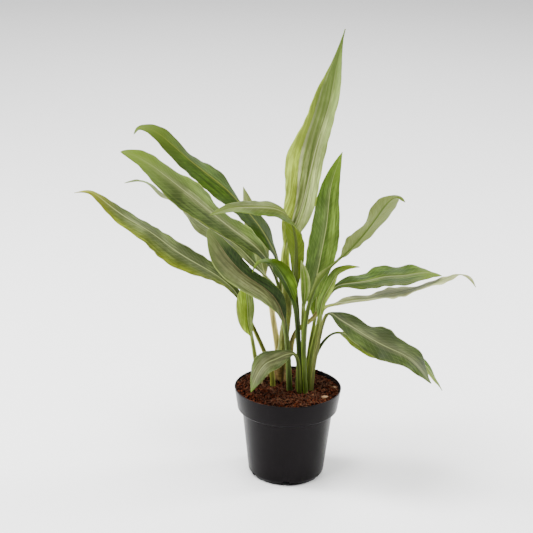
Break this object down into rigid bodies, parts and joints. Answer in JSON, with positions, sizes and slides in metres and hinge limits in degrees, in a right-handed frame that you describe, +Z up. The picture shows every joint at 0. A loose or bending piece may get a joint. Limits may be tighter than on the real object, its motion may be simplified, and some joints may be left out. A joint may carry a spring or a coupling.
{
  "type": "potted chinese evergreen",
  "caption": "Leafy house plant with long-stalked, lance-shaped, silver-marked green leaves, growing in potting mix in a round thin-walled nursery pot with a collar and drain notches.",
  "frame": {"origin": "middle of the pot's underside, on the surface it stands on", "axes": "+Z up along the pot's axis, -Y to the front of the plant as pictured, +X to its right"},
  "size_m": [0.4455, 0.1928, 0.5022],
  "materials": {
    "pot": "satin",
    "soil": "matte",
    "cane": "matte",
    "stem": "satin",
    "leaf_dark": "satin",
    "leaf_silver": "satin",
    "leaf_young": "satin"
  },
  "bodies": {
    "root": {"pot": "pot", "soil": "soil", "cane_main": "cane", "stem_right": "stem", "leaf_big_left": "leaf_silver", "leaf_upper_left": "leaf_dark", "leaf_mid_left": "leaf_silver", "leaf_thin_left": "leaf_dark", "leaf_bent_front": "leaf_silver", "leaf_tallest": "leaf_young", "leaf_right_upright": "leaf_silver", "leaf_small_arch": "leaf_dark", "leaf_front_ovate": "leaf_silver", "leaf_young_left": "leaf_young", "leaf_right_up": "leaf_young", "leaf_young_right": "leaf_young", "leaf_right_level": "leaf_silver", "leaf_right_edge": "leaf_silver", "leaf_lower_right": "leaf_dark", "leaf_under_right": "leaf_silver", "leaf_drooping": "leaf_silver", "leaf_striped": "leaf_silver", "leaf_back_short": "leaf_young", "leaf_back_left": "leaf_dark"}
  },
  "joints": []
}
